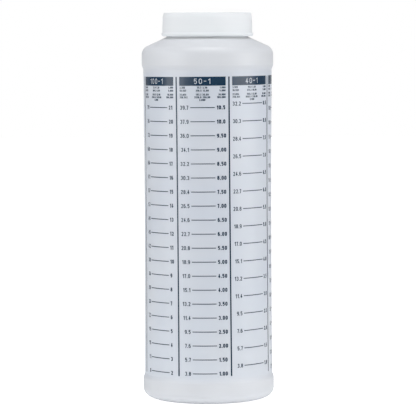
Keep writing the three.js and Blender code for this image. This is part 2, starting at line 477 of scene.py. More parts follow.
def cad_outline(node):
    """A turned node's outline in its front half-plane: (radius, height) points, axis to axis."""
    mesh = frame["nodes"][node].data
    points = [tuple(round(c, 7) for c in vertex.co) for vertex in mesh.vertices]
    links = {}
    for edge in mesh.edges:
        ends = [points[i] for i in edge.vertices]
        if ends[0] != ends[1] and all(abs(x) < SNAP and y < SNAP for x, y, _ in ends):
            links.setdefault(ends[0], set()).add(ends[1])
            links.setdefault(ends[1], set()).add(ends[0])
    here = min((p for p in links if abs(p[1]) < SNAP), key=lambda p: p[2])
    chain = [here]
    while links[here] - set(chain):
        here = (links[here] - set(chain)).pop()
        chain.append(here)
    if abs(here[1]) > SNAP:
        raise RuntimeError(f"the outline of {node} doesn't end on its axis")
    return [Vector((-y, z)) for _, y, z in chain]


def rounded(points):
    """The same outline with its arcs divided more finely, and its straight runs held near their ends."""
    runs = [b - a for a, b in zip(points, points[1:])]

    def turn_before(k):
        return runs[k - 1].angle(runs[k]) if 0 < k < len(runs) else math.pi

    def on_arc(k):
        sides = [runs[i].length for i in (k - 1, k + 1) if 0 <= i < len(runs)]
        gentle = all(ARC_LEAST < turn_before(i) < ARC_MOST for i in (k, k + 1))
        return gentle and runs[k].length < ARC_EVENNESS * min(sides)

    def direction(k):
        """Along the outline at point k: on an arc between its two runs, else along the straight one."""
        arcs = [i for i in (k - 1, k) if on_arc(i)]
        straight = [i for i in (k - 1, k) if i not in arcs]
        return sum((runs[i].normalized() for i in straight or arcs), Vector((0, 0))).normalized()

    finer = [points[0]]
    for k, (start, run) in enumerate(zip(points, runs)):
        if on_arc(k):
            finer += arc_points(start, start + run, direction(k), direction(k + 1))
        elif run.length > HELD_RUN:
            hold = run.normalized() * HOLD
            finer += [start + hold, start + run - hold]
        finer.append(start + run)
    return finer


def arc_points(start, stop, leaving, arriving):
    """Points on a smooth curve between two points, with the directions in which it leaves and arrives."""
    reach = (stop - start).length
    found = []
    for k in range(1, ARC_PARTS):
        t = k / ARC_PARTS
        ends = start * (1 + 2 * t) * (1 - t) ** 2 + stop * t * t * (3 - 2 * t)
        found.append(ends + leaving * reach * t * (1 - t) ** 2 + arriving * reach * t * t * (t - 1))
    return found


def radii_at(outline, height):
    """The radii at which an outline crosses a height, from the smallest."""
    found = []
    for a, b in zip(outline, outline[1:]):
        if (a.y - height) * (b.y - height) < 0:
            found.append(a.x + (b.x - a.x) * (height - a.y) / (b.y - a.y))
    return sorted(found)


def even_turns(sides):
    return [FULL_TURN * i / sides for i in range(sides)]


def ringed_mesh(name, rings):
    """A mesh over rings of equally many points, closed where a ring's points are in one place."""
    work = bmesh.new()
    corners = [[work.verts.new(point) for point in ring] for ring in rings]
    for lower, upper in zip(corners, corners[1:]):
        for i in range(len(lower)):
            work.faces.new((lower[i - 1], lower[i], upper[i], upper[i - 1]))
    bmesh.ops.remove_doubles(work, verts=work.verts, dist=SNAP)
    bmesh.ops.recalc_face_normals(work, faces=work.faces)
    return written_mesh(name, work)


def written_mesh(name, work):
    mesh = bpy.data.meshes.new(name)
    work.to_mesh(mesh)
    work.free()
    return mesh


def turned_piece(name, outline, turns, lift=None):
    """A piece with an outline turned round the Z axis; lift(i, turn) adds to point i's radius."""
    rings = []
    for i, (radius, height) in enumerate(outline):
        lifted = lift and radius > SNAP
        reaches = [radius + lift(i, turn) if lifted else radius for turn in turns]
        rings.append([(r * math.cos(t), r * math.sin(t), height) for r, t in zip(reaches, turns)])
    return new_piece(name, ringed_mesh(name, rings))


def new_piece(name, mesh):
    piece = bpy.data.objects.new(name, mesh)
    bpy.context.scene.collection.objects.link(piece)
    return piece


def dress(piece, make, body, sharp=SHARP):
    """Smooths a finished piece, gives it the material that a function makes, and lets it ride on its body.

    The function has the name of the record's material slot.
    """
    mesh = piece.data
    mesh.materials.clear()
    mesh.materials.append(finished(make))
    mesh.polygons.foreach_set("use_smooth", [True] * len(mesh.polygons))
    mesh.set_sharp_from_angle(angle=sharp)
    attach(piece, body)


# Finishes

NOISE_SPAN = 0.3, 0.7  # what nearly all of a noise lies between
DRAWN_OUT = 1, 1, 0.04  # draws a noise out into streaks along the axis
ALL_COLOURS_ALIKE = 1, 1, 1  # of the light that travels under a surface
HEEL_FADE = 6 * MM  # below the rules, over which the panel's colour comes in
SHOULDER_FADE = 8 * MM  # above the heading bars, over which it goes
PANEL_LEAST = 0.7  # share of the panel's colour where its clouds are thickest
# Heights of the band that is painted whiter, as light in the shade under the cap's foot
NECK_LIGHT_START = 2.4 * MM  # below the cap's foot, where the neck's colour begins
NECK_LIGHT_FULL = 1.2 * MM  # below the cap's foot, where it is full
FLOOR_TONES = (0.9, 0.9, 0.9, 1), (0.92, 0.92, 0.92, 1)
FLOOR_WHITE = 1, 3  # metres behind the bottle, over which reflections begin to see a white floor
ROOM_WHITE = 0.9, 0.97  # how straight back they look where they begin to see a white room


def new_material(name):
    material = bpy.data.materials.new(name)
    material.use_nodes = True
    return material, material.node_tree, material.node_tree.nodes["Principled BSDF"]


def finished(make):
    """The material that a function makes, made the first time it is asked for.

    Its name has spaces, because the frame's plain materials have the same words with underscores.
    """
    name = make.__name__.replace("_", " ")
    return bpy.data.materials.get(name) or make(name)


def object_place(tree):
    return tree.nodes.new("ShaderNodeTexCoord").outputs["Object"]


def moulded_surface_group(name):
    """Slow clouds, streaks along the axis and fine grain, as a moulded plastic shows them."""
    details = {"Cloud": 2.0, "Streak": 3.0, "Grain": 1.0}
    scales = {f"{mark} Scale": FLOAT for mark in details}
    tree, start, end = node_group(name, "ShaderNodeTree", scales, dict.fromkeys(details, FLOAT))
    place = object_place(tree)
    drawn_out = output(tree, "ShaderNodeMapping", {"Vector": place, "Scale": DRAWN_OUT})
    for mark, detail in details.items():
        where = drawn_out if mark == "Streak" else place
        inputs = {"Vector": where, "Scale": start.outputs[f"{mark} Scale"], "Detail": detail}
        noise = add_node(tree, "ShaderNodeTexNoise", inputs)
        feed(tree, end, {mark: noise.outputs["Fac"]})
    return tree


def moulded_surface(tree, cloud, streak, grain):
    """The clouds, streaks and grain of a material, each at its own scale."""
    scales = {"Cloud Scale": cloud, "Streak Scale": streak, "Grain Scale": grain}
    group = finished_tree("Moulded surface", moulded_surface_group)
    return add_node(tree, "ShaderNodeGroup", scales, node_tree=group).outputs


def spread(tree, value, low, high):
    """A noise value, which keeps near its middle, spread between two limits."""
    return map_range(tree, value, *NOISE_SPAN, low, high)


def rising(tree, height, low, high):
    """0 below a height and 1 above another, from a piece's own height."""
    return map_range(tree, height, low, high, kind="SMOOTHSTEP")


def bump(tree, height, strength, depth):
    return output(tree, "ShaderNodeBump", {"Height": height, "Strength": strength, "Distance": depth})


def natural_polyethylene(name):
    """Undyed, translucent and softly glossy, with faint clouds and drawn streaks."""
    finish = settings().finish
    scale = settings().scale
    material, tree, surface = new_material(name)
    marks = moulded_surface(tree, cloud=22, streak=420, grain=2600)
    cloud = spread(tree, marks["Cloud"], 0, 1)
    height = parts_of(tree, object_place(tree))["Z"]
    above_heel = rising(tree, height, scale.rule_bottom - HEEL_FADE, scale.rule_bottom)
    above_bars = rising(tree, height, scale.bar_top, scale.bar_top + SHOULDER_FADE)
    between = maths(tree, "SUBTRACT", above_heel, above_bars)
    on_panel = maths(tree, "MULTIPLY", between, spread(tree, cloud, 1, PANEL_LEAST))
    # The panel's colour goes from lighter at the base to darker at mid-height
    high_wall = rising(tree, height, scale.rule_bottom, scale.lean_middle)
    # Painted light: the neck and the shoulder just under the cap turn whiter, partly as the thicker neck
    # wall does and partly to lift the shade that the cap's foot casts there
    on_neck_painted_light = rising(tree, height, cap_low.z - NECK_LIGHT_START, cap_low.z - NECK_LIGHT_FULL)
    wall = mixed_colour(tree, cloud, finish.shell, finish.shell_cloud)
    panel = mixed_colour(tree, high_wall, finish.shell_low, finish.shell_panel)
    wall = mixed_colour(tree, on_panel, wall, panel)
    look = {
        "Base Color": mixed_colour(tree, on_neck_painted_light, wall, finish.shell_neck),
        "Roughness": spread(tree, marks["Streak"], 0.4, 0.48),
        "Normal": bump(tree, marks["Streak"], strength=0.12, depth=0.05 * MM),
        "Subsurface Weight": 0.3,
        "Subsurface Radius": ALL_COLOURS_ALIKE,
        "Subsurface Scale": 2 * MM,
    }
    feed(tree, surface, look)
    return material


def white_polypropylene(name):
    """Opaque satin white with a fine spark-eroded grain."""
    finish = settings().finish
    material, tree, surface = new_material(name)
    marks = moulded_surface(tree, cloud=45, streak=300, grain=5200)
    look = {
        "Base Color": mixed_colour(tree, spread(tree, marks["Cloud"], 0, 1), finish.cap, finish.cap_cloud),
        "Roughness": spread(tree, marks["Grain"], 0.6, 0.7),
        "Normal": bump(tree, marks["Grain"], strength=0.15, depth=0.03 * MM),
        "Subsurface Weight": 0.15,
        "Subsurface Radius": ALL_COLOURS_ALIKE,
        "Subsurface Scale": 1 * MM,
    }
    feed(tree, surface, look)
    return material


def liner_foam(name):
    """Matt white closed-cell foam."""
    finish = settings().finish
    material, tree, surface = new_material(name)
    cells = output(tree, "ShaderNodeTexVoronoi", {"Vector": object_place(tree), "Scale": 2200})
    look = {
        # Painted shade: the pores, which the bump sinks in, are also coloured darker
        "Base Color": mixed_colour(tree, spread(tree, cells, 1, 0), finish.foam, finish.foam_cells),
        "Roughness": 0.85,
        "Normal": bump(tree, cells, strength=0.4, depth=0.1 * MM),
    }
    feed(tree, surface, look)
    return material


def scale_ink(name):
    """Dark blue screen ink, a little uneven in its coat."""
    finish = settings().finish
    material, tree, surface = new_material(name)
    marks = moulded_surface(tree, cloud=160, streak=420, grain=3800)
    thin_spots = spread(tree, marks["Grain"], 0, 1)
    thin_areas = spread(tree, marks["Cloud"], 0.3, 1)
    thinness = maths(tree, "MULTIPLY", thin_spots, thin_areas)
    look = {
        "Base Color": mixed_colour(tree, thinness, finish.ink, finish.ink_thin),
        "Roughness": spread(tree, marks["Grain"], 0.2, 0.26),
        "Specular IOR Level": 0.36,
    }
    feed(tree, surface, look)
    return material


def shows_white(tree, place, near, far):
    """1 for the camera, and for reflections and glass where they look at the backdrop; 0 for the rest.

    place is a position or direction, and the backdrop fills what lies behind the bottle, from near to far.
    """
    path = tree.nodes.new("ShaderNodeLightPath").outputs
    behind = map_range(tree, parts_of(tree, place)["Y"], near, far)
    mirrored = maths(tree, "MAXIMUM", path["Is Glossy Ray"], path["Is Transmission Ray"])
    return maths(tree, "MAXIMUM", path["Is Camera Ray"], maths(tree, "MULTIPLY", mirrored, behind))


def studio_floor(name):
    """Pale floor that shows as white but keeps the bottle's soft shadow."""
    studio = settings().studio
    material, tree, surface = new_material(name)
    tree.nodes.remove(surface)
    marks = moulded_surface(tree, cloud=3, streak=3, grain=900)
    tone = mixed_colour(tree, marks["Cloud"], *FLOOR_TONES)
    matt = output(tree, "ShaderNodeBsdfDiffuse", {"Color": tone})
    place = object_place(tree)
    reach = add_node(tree, "ShaderNodeVectorMath", {0: place}, operation="LENGTH").outputs["Value"]
    light = map_range(
        tree, reach, bottle_high.x, studio.near_reach, studio.floor_near, studio.floor_light
    )
    backdrop = map_range(tree, reach, studio.near_reach, studio.white_reach, studio.floor_glow)
    strength = mixed_value(tree, shows_white(tree, place, *FLOOR_WHITE), light, backdrop)
    glow = output(tree, "ShaderNodeEmission", {"Strength": strength})
    both = output(tree, "ShaderNodeAddShader", {0: matt, 1: glow})
    feed(tree, tree.nodes["Material Output"], {"Surface": both})
    return material


# The printed scale

GALLON_LITRES = 3.785412
OUNCE_MILLILITRES = 29.5735
LITRE_MILLILITRES = 1000
MILLILITRE = 1e-6  # in cubic metres
TABLE_ROWS = 190.95 * MM, 189.15 * MM, 186.75 * MM, 185.15 * MM, 183.55 * MM  # heights
TABLE_GALLONS = 1, 5, 10, 100
PERCENT = 100
PRINT_RADIUS = bottle_high.x - 1 * MM  # turns become arc lengths on it, where the print is laid out flat
RULE_STEPS = 60  # along a rule, so that it can follow the panel's waist
BAR_STEPS = 40  # along a heading bar, so that it can follow the wall


class Column:
    """One mixing ratio: its marks from the lowest to the highest, and how its numbers are written."""

    def __init__(self, place, ratio, lowest, highest, step, decimals=1, litre_decimals=1, wide=False):
        self.place = place
        self.ratio = ratio
        self.name = f"{ratio}_to_1"
        count = round((highest - lowest) / step) + 1
        self.gallons = [lowest + step * i for i in range(count)]
        self.decimals = decimals
        self.litre_decimals = litre_decimals
        self.wide = wide

    def oil_volume(self, gallons):
        """Millilitres of oil for that many gallons of fuel."""
        return gallons * GALLON_LITRES * LITRE_MILLILITRES / self.ratio

    def height(self, gallons):
        scale = settings().scale
        more = self.oil_volume(gallons) - scale.low_volume
        return scale.low_mark + more * MILLILITRE / scale.panel_area

    def middle(self):
        scale = settings().scale
        return scale.front_centre + self.place * scale.column_pitch

    def mark_ends(self):
        """The turns at the left and the right end of the marks."""
        scale = settings().scale
        right = scale.mark_right_wide if self.wide else scale.mark_right
        return self.middle() - scale.mark_left, self.middle() + right

    def written(self, gallons):
        """The two numbers at a mark: litres at its left, gallons at its right."""
        litres = f"{gallons * GALLON_LITRES:.{self.litre_decimals}f}"
        decimals = self.decimals - 1 if self.wide and gallons >= 10 else self.decimals
        return litres, f"{gallons:.{decimals}f}"

    def table(self):
        """Rows of small figures: litres of fuel, the oil for them in two measures, and gallons.

        The last row is the oil's percentage of the fuel.
        """
        for gallons in TABLE_GALLONS:
            oil = self.oil_volume(gallons)
            both = f"{oil:.1f} {oil / OUNCE_MILLILITRES:.2f}"
            yield f"{gallons * GALLON_LITRES:.3f}", both, f"{gallons:.3f}"
        yield "", f"{PERCENT / self.ratio:.3f}", ""


COLUMNS = [
    Column(-1, 100, 2, 21, 1, decimals=0, litre_decimals=0),
    Column(0, 50, 1, 10.5, 0.5, decimals=2, wide=True),
    Column(1, 40, 1, 8.5, 0.5),
    Column(2, 24, 0.5, 5, 0.25, decimals=2, wide=True),
    Column(3, 20, 0.5, 4.25, 0.25, decimals=2, wide=True),
    Column(4, 16, 0.5, 3.25, 0.25, decimals=2, wide=True),
    Column(5, 12, 0.5, 2.5, 0.25, decimals=2, wide=True),
]

# Figures

NUMBER_FORM = 0.56, 0.14  # breadth of a figure and room to the next, as shares of its height
RATIO_FORM = 0.62, 0.32
WORD_SPACE = 0.5  # more room between words
BEND_STEP = 24  # degrees from point to point in a figure's bends
WAIST = 0.52  # where a figure's halves meet; this and the next four are shares of its height
BOWL = 0.6  # top of the loop of 6
BELLY = 0.32  # middle of the round of 5
CROSSBAR = 0.28  # bar of 4
FLAG = 0.76  # tip of the flag of 1
STEM = 0.65  # uprights of 1 and 4, as a share of the breadth
FIGURES_DRAWN = {}  # each figure that has been drawn, by its form


def bend(middle, across, up, start, stop):
    """Points along part of an ellipse, between two angles in degrees."""
    count = math.ceil(abs(stop - start) / BEND_STEP)
    angles = [math.radians(start + (stop - start) * i / count) for i in range(count + 1)]
    return [(middle[0] + across * math.cos(a), middle[1] + up * math.sin(a)) for a in angles]


def loop(left, right, low, high):
    """A closed loop with round ends, as in 0 and 8."""
    reach = (right - left) / 2
    up = min(reach, (high - low) / 2)
    over = bend((left + reach, high - up), reach, up, 180, 0)
    under = bend((left + reach, low + up), reach, up, 0, -180)
    return over + under + over[:1]


def figure_lines(figure, wide, high, edge):
    """Middle lines of a figure's strokes in a box from (0, 0); edge is half of a stroke's width."""
    half = wide / 2
    waist, belly, bar, bowl = (part * high for part in (WAIST, BELLY, CROSSBAR, BOWL))
    lower, upper = waist / 2, (high - waist) / 2
    stem = STEM * wide
    upright = [(stem, -edge), (stem, high + edge)]
    top_bend = half, high - upper
    six = [loop(0, wide, 0, bowl), [(0, bowl / 2), *bend((half, high - half), half, half, 180, 35)]]
    lines = {
        "0": [loop(0, wide, 0, high)],
        "1": [upright, [(stem, high), (0, FLAG * high)]],
        "2": [[*bend(top_bend, half, upper, 165, -25), (0.7 * edge, 0), (wide + edge, 0)]],
        "3": [bend(top_bend, half, upper, 155, -90), bend((half, lower), half, lower, 90, -155)],
        "4": [upright, [(stem, high), (0.6 * edge, bar), (wide + edge, bar)]],
        "5": [
            [(wide + edge / 2, high), (0.12 * wide, high), (0.05 * wide, 0.45 * high)],
            bend((half, belly), half, belly, 135, -150),
        ],
        "6": six,
        "7": [[(-edge, high), (wide - 0.9 * edge, high), (0.3 * wide, -edge)]],
        "8": [loop(0.05 * wide, 0.95 * wide, waist, high), loop(0, wide, 0, waist)],
        "9": [[(wide - x, high - y) for x, y in line] for line in six],
        "-": [[(0, waist), (wide, waist)]],
        ".": [[(0, -edge), (0, edge)]],
    }
    return lines[figure]


def stroke_faces(line, edge):
    """Four-cornered faces along a line, edge wide at each side of it."""
    points = [Vector(p) for p in line]
    points = [p for i, p in enumerate(points) if i == 0 or (p - points[i - 1]).length > SNAP]
    runs = [(b - a).normalized() for a, b in zip(points, points[1:])]
    closed = (points[0] - points[-1]).length < SNAP
    sides = []
    for i, point in enumerate(points):
        before = runs[i - 1] if i or closed else runs[0]
        after = runs[i] if i < len(runs) else (runs[0] if closed else runs[-1])
        along = (before + after).normalized()
        across = Vector((-along.y, along.x)) * (edge / along.dot(after))
        sides.append((point - across, point + across))
    return [(a, c, d, b) for (a, b), (c, d) in zip(sides, sides[1:])]


def border(triangles):
    """The edges that belong to one triangle only."""
    edges = [tuple(sorted((t[i - 1], t[i]))) for t in triangles for i in range(len(t))]
    return [edge for edge, count in Counter(edges).items() if count == 1]


def drawn_figure(figure, breadth, stroke):
    """The points and triangles of one figure of height 1, with its strokes joined to one shape."""
    key = (figure, round(breadth, 4), round(stroke, 4))
    if key not in FIGURES_DRAWN:
        lines = figure_lines(figure, breadth - stroke, 1 - stroke, stroke / 2)
        faces = [face for line in lines for face in stroke_faces(line, stroke / 2)]
        corners = [corner for face in faces for corner in face]
        numbered = [[4 * i + k for k in range(4)] for i in range(len(faces))]
        points, _, made, _, _, sources = delaunay_2d_cdt(corners, [], numbered, 1, SNAP)
        left = min(point.x for point in points)
        points = [Vector((x - left, y + stroke / 2)) for x, y in points]
        FIGURES_DRAWN[key] = points, [face for face, source in zip(made, sources) if source]
    return FIGURES_DRAWN[key]


class Hand:
    """One size and weight of figures."""

    def __init__(self, height, stroke, form):
        self.height = height
        self.stroke = stroke / height
        self.breadth, self.space = form

    def write(self, text, align="CENTER"):
        """Points and triangles of a line of figures, about their mid-height."""
        points, faces = [], []
        pen = 0
        for figure in text:
            if figure == " ":
                pen += WORD_SPACE
                continue
            drawn, triangles = drawn_figure(figure, self.breadth, self.stroke)
            faces += [[i + len(points) for i in triangle] for triangle in triangles]
            points += [point + Vector((pen, -0.5)) for point in drawn]
            pen = max(point.x for point in points) + self.space
        start = {"LEFT": 0, "CENTER": 0.5, "RIGHT": 1}[align] * (pen - self.space)
        return [(point - Vector((start, 0))) * self.height for point in points], faces


class FlatPrint:
    """Flat artwork, in arc length and height, that gathers in one mesh."""

    def __init__(self):
        self.work = bmesh.new()

    def add_faces(self, points, faces):
        corners = [self.work.verts.new((x, y, 0)) for x, y in points]
        for face in faces:
            self.work.faces.new([corners[i] for i in face])
        loose = [corner for corner in corners if not corner.link_faces]
        bmesh.ops.delete(self.work, geom=loose, context="VERTS")

    def add_figures(self, turn, height, hand, text, align="CENTER"):
        points, faces = hand.write(text, align)
        along = turn * PRINT_RADIUS
        self.add_faces([(along + point.x, height + point.y) for point in points], faces)

    def add_strip(self, turn, width, bottom, top):
        """An upright strip, divided so that it can follow the panel's waist."""
        middle = turn * PRINT_RADIUS
        points = []
        for i in range(RULE_STEPS + 1):
            height = bottom + (top - bottom) * i / RULE_STEPS
            points += [(middle - width / 2, height), (middle + width / 2, height)]
        self.add_faces(points, [(i, i + 1, i + 3, i + 2) for i in range(0, 2 * RULE_STEPS, 2)])

    def add_bar(self, left, right, bottom, top, hand, text):
        """A bar between two turns, with figures left open in its middle."""
        xs = [PRINT_RADIUS * (left + (right - left) * i / BAR_STEPS) for i in range(BAR_STEPS + 1)]
        outline = [Vector((x, bottom)) for x in xs] + [Vector((x, top)) for x in reversed(xs)]
        figures, triangles = hand.write(text)
        middle = Vector(((xs[0] + xs[-1]) / 2, (bottom + top) / 2))
        points = [middle + point for point in figures]
        open_parts = [[points[i] for i in triangle] for triangle in triangles]
        edges = border(triangles)
        edges += [(len(points) + i, len(points) + (i + 1) % len(outline)) for i in range(len(outline))]
        verts, _, made, *_ = delaunay_2d_cdt(points + outline, edges, [], 1, SNAP)

        def is_ink(face):
            centre = sum((verts[i] for i in face), Vector((0, 0))) / len(face)
            return not any(intersect_point_tri_2d(centre, *part) for part in open_parts)

        self.add_faces(verts, [face for face in made if is_ink(face)])

    def print_piece(self, name):
        """Prints what has gathered on the bottle, as one finished piece."""
        bmesh.ops.remove_doubles(self.work, verts=self.work.verts, dist=SNAP)
        piece = new_piece(name, written_mesh(name, self.work))
        apply_tree(piece, finished_tree("Print on surface", print_on_surface_tree), print_values())
        dress(piece, scale_ink, "bottle")


def print_values():
    """What every print shares: the surface, its layout radius and the coat of ink."""
    scale = settings().scale
    return {
        "Surface": bpy.data.objects["bottle_shell"],
        "Radius": PRINT_RADIUS,
        "Lean": math.tan(scale.lean),
        "Lean Middle": scale.lean_middle,
        "Thickness": scale.ink_thickness,
        "Sink": scale.ink_sink,
        "Material": finished(scale_ink),
    }


# Operators

SEAM_START = 0.01  # where the seams begin, as a share of the bottle's height
PINCH_STEPS = 48
PINCH_SIDES = 16
PINCH_FULLNESS = 6  # power that keeps the ridge full nearly to its ends
GATE_TIP = 0.25  # radius of the gate's broken tip, as a share of its mark
RIM_DEPTH = 0.6 * MM  # from the rim down past its rounding
CAMERA_REACH = 50  # metres that the camera sees


class MIXBOTTLE_OT_shell(bpy.types.Operator):
    """Turns the blown bottle, with the two seams that the mould left on it"""

    bl_idname = "mixbottle.shell"
    bl_label = "Bottle shell"

    def execute(self, context):
        sizes = settings().shell
        outline = rounded(cad_outline("bottle"))
        rim = max(range(len(outline)), key=lambda i: outline[i].y)
        seams = [sizes.seam_turn, sizes.seam_turn + math.pi]
        edge = sizes.seam_width / 2 / bottle_high.x
        seam_bottom = outline[rim].y * SEAM_START
        seam_top = cap_low.z

        def seam_lift(i, turn):
            on_outside = i <= rim and seam_bottom < outline[i].y < seam_top
            return sizes.seam_height if on_outside and turn in seams else 0

        turns = [t for t in even_turns(sizes.sides) if all(abs(t - s) > 2 * edge for s in seams)]
        turns += [seam + side * edge for seam in seams for side in (-1, 0, 1)]
        shell = turned_piece("bottle_shell", outline, sorted(turns), seam_lift)
        dress(shell, natural_polyethylene, "bottle")
        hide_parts("bottle")
        return {"FINISHED"}


class MIXBOTTLE_OT_pinch_off(bpy.types.Operator):
    """Lays the welded ridge, where the mould pinched the tube of plastic, under the base"""

    bl_idname = "mixbottle.pinch_off"
    bl_label = "Pinch-off weld"

    def execute(self, context):
        sizes = settings().shell
        base = min(cad_outline("bottle"), key=lambda point: point.x + point.y)
        along = Vector((math.cos(sizes.seam_turn), math.sin(sizes.seam_turn), 0)) * sizes.pinch_length / 2
        across = Vector((-along.y, along.x, 0)).normalized() * sizes.pinch_width / 2
        down = Vector((0, 0, sizes.pinch_height))
        rings = []
        for i in range(PINCH_STEPS + 1):
            place = 2 * i / PINCH_STEPS - 1
            fullness = math.sqrt(1 - place**PINCH_FULLNESS)
            middle = along * place + Vector((0, 0, base.y))
            section = [across * math.cos(t) + down * math.sin(t) for t in even_turns(PINCH_SIDES)]
            rings.append([middle + point * fullness for point in section])
        weld = new_piece("pinch_off", ringed_mesh("pinch_off", rings))
        dress(weld, natural_polyethylene, "bottle")
        return {"FINISHED"}


class MIXBOTTLE_OT_cap(bpy.types.Operator):
    """Turns the screw cap, with the mark of its moulding gate on top"""

    bl_idname = "mixbottle.cap"
    bl_label = "Screw cap"

    def execute(self, context):
        sizes = settings().shell
        outline = self.ease_foot(rounded(cad_outline("screw_cap")), sizes.foot_round)
        top = cap_high.z
        floor = top - sizes.gate_depth
        middle = (floor + top) / 2
        wall = sizes.gate_radius - sizes.gate_depth / 2
        tip = wall * GATE_TIP
        gate = [(sizes.gate_radius, top), (wall, floor), (tip, floor), (tip / 2, middle), (0, middle)]
        gate = [Vector(p) for p in gate]
        outline = [p for p in outline if p.y < top - SNAP or p.x > sizes.gate_radius]
        ends_on_top = outline[-1].y > outline[0].y
        outline = outline + gate if ends_on_top else gate[::-1] + outline
        cap = turned_piece("cap_shell", outline, even_turns(sizes.sides))
        dress(cap, white_polypropylene, "cap")
        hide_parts("screw_cap")
        return {"FINISHED"}

    def ease_foot(self, outline, radius):
        """The cap's outline with the lower edge of its bead worn rounder."""
        widest = max(p.x for p in outline)
        centre = Vector((widest - radius, cap_low.z + radius))
        on_edge = [i for i, p in enumerate(outline) if p.x > centre.x and p.y < centre.y]
        first, last = on_edge[0], on_edge[-1]
        start, stop = (-90, 0) if outline[last].x > outline[first].x else (0, -90)
        edge = [Vector(p) for p in bend(centre, radius, radius, start, stop)]
        return outline[:first] + edge + outline[last + 1 :]


class MIXBOTTLE_OT_liner(bpy.types.Operator):
    """Turns the foam liner, swollen beside the rim that presses into it"""

    bl_idname = "mixbottle.liner"
    bl_label = "Cap liner"

    def execute(self, context):
        sizes = settings().shell
        low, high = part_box("cap_liner")
        bore, neck = radii_at(cad_outline("bottle"), bottle_high.z - RIM_DEPTH)
        edge = sizes.liner_bulge
        swollen = low.z - edge
        outline = [
            (0, swollen),
            (bore - 2 * edge, swollen),
            (bore, low.z),
            (neck, low.z),
            (neck + edge, swollen),
            (high.x - edge, swollen),
            (high.x, low.z + edge),
            (high.x, high.z - edge),
            (high.x - edge, high.z),
            (0, high.z),
        ]
        liner = turned_piece("liner_disc", outline, even_turns(sizes.sides))
        dress(liner, liner_foam, "liner")
        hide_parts("cap_liner")
        return {"FINISHED"}


class MIXBOTTLE_OT_threads(bpy.types.Operator):
    """Winds the thread on the neck and, between its turns, the one inside the cap"""

    bl_idname = "mixbottle.threads"
    bl_label = "Threads"

    def execute(self, context):
        sizes = settings().thread
        lead = self.lead()
        neck_low = bottle_high.z - sizes.rim_margin - sizes.turns * lead
        cap_thread_low = neck_low - lead / 2
        neck_radius = radii_at(cad_outline("bottle"), neck_low)[-1]
        skirt_radius = radii_at(cad_outline("screw_cap"), cap_thread_low)[0]
        self.wind("neck_thread", natural_polyethylene, "bottle", neck_low, neck_radius, 1)
        self.wind("cap_thread", white_polypropylene, "cap", cap_thread_low, skirt_radius, -1)
        return {"FINISHED"}

    def lead(self):
        """How far the cap climbs in one turn, from the coupling of its two joints."""
        return frame["record"]["behaviour"]["couplings"][0]["ratio"] * FULL_TURN

    def wind(self, name, make, body, lowest, radius, outward):
        """Winds a thread from its lowest point up; outward is 1 on an outer wall and -1 on an inner one."""
        sizes = settings().thread
        thread = new_piece(name, bpy.data.meshes.new(name))
        values = {
            "Radius": radius,
            "Lead": self.lead(),
            "Turns": sizes.turns,
            "Lowest": lowest,
            "Depth": outward * sizes.depth,
            "Width": sizes.width,
            "Sink": outward * sizes.sink,
            "Run-out": sizes.run_out,
            "Steps": sizes.steps,
            "Material": finished(make),
        }
        apply_tree(thread, finished_tree("Screw thread", screw_thread_tree), values)
        dress(thread, make, body, THREAD_SHARP)


class MIXBOTTLE_OT_headings(bpy.types.Operator):
    """Prints the rules between the columns, and a bar with the ratio left open in it on each"""

    bl_idname = "mixbottle.headings"
    bl_label = "Rules and headings"

    def execute(self, context):
        scale = settings().scale
        rules = FlatPrint()
        for place in range(len(COLUMNS) + 1):
            turn = COLUMNS[0].middle() + (place - 0.5) * scale.column_pitch
            rules.add_strip(turn, scale.rule_width, scale.rule_bottom, scale.bar_top)
        rules.print_piece("scale_rules")
        half = scale.column_pitch / 2 - scale.bar_inset
        hand = Hand(scale.ratio_height, scale.ratio_stroke, RATIO_FORM)
        for column in COLUMNS:
            left, right = column.middle() - half, column.middle() + half
            heading = FlatPrint()
            heading.add_bar(left, right, scale.bar_bottom, scale.bar_top, hand, f"{column.ratio}-1")
            heading.print_piece(f"heading_{column.name}")
        return {"FINISHED"}


class MIXBOTTLE_OT_marks(bpy.types.Operator):
    """Prints the level marks of each column"""

    bl_idname = "mixbottle.marks"
    bl_label = "Level marks"

    def execute(self, context):
        scale = settings().scale
        tree = finished_tree("Scale marks", scale_marks_tree)
        for column in COLUMNS:
            left, right = column.mark_ends()
            lowest, second = (column.height(gallons) for gallons in column.gallons[:2])
            values = {
                "Count": len(column.gallons),
                "Lowest": lowest,
                "Step": second - lowest,
                "Middle": (left + right) / 2 * PRINT_RADIUS,
                "Length": (right - left) * PRINT_RADIUS,
                "Width": scale.mark_width,
            }
            marks = new_piece(f"marks_{column.name}", bpy.data.meshes.new("marks"))
            apply_tree(marks, tree, print_values() | values)
            dress(marks, scale_ink, "bottle")
        return {"FINISHED"}


class MIXBOTTLE_OT_numbers(bpy.types.Operator):
    """Prints the numbers at the marks, and a small table under each heading"""

    bl_idname = "mixbottle.numbers"
    bl_label = "Numbers"

    def execute(self, context):
        for column in COLUMNS:
            numbers = FlatPrint()
            self.number_marks(numbers, column)
            self.add_table(numbers, column)
            numbers.print_piece(f"numbers_{column.name}")
        return {"FINISHED"}

    def number_marks(self, numbers, column):
        scale = settings().scale
        left, right = column.mark_ends()
        plain = Hand(scale.number_height, scale.number_stroke, NUMBER_FORM)
        bold = Hand(scale.number_height, scale.number_bold, NUMBER_FORM)
        for gallons in column.gallons:
            height = column.height(gallons)
            litres, written = column.written(gallons)
            numbers.add_figures(left - scale.number_gap, height, plain, litres, "RIGHT")
            numbers.add_figures(right + scale.number_gap, height, bold, written, "LEFT")

    def add_table(self, numbers, column):
        scale = settings().scale
        hand = Hand(scale.table_height, scale.table_stroke, NUMBER_FORM)
        places = (-scale.table_edge, "LEFT"), (0, "CENTER"), (scale.table_edge, "RIGHT")
        for height, row in zip(TABLE_ROWS, column.table()):
            for (turn, align), text in zip(places, row):
                if text:
                    numbers.add_figures(column.middle() + turn, height, hand, text, align)


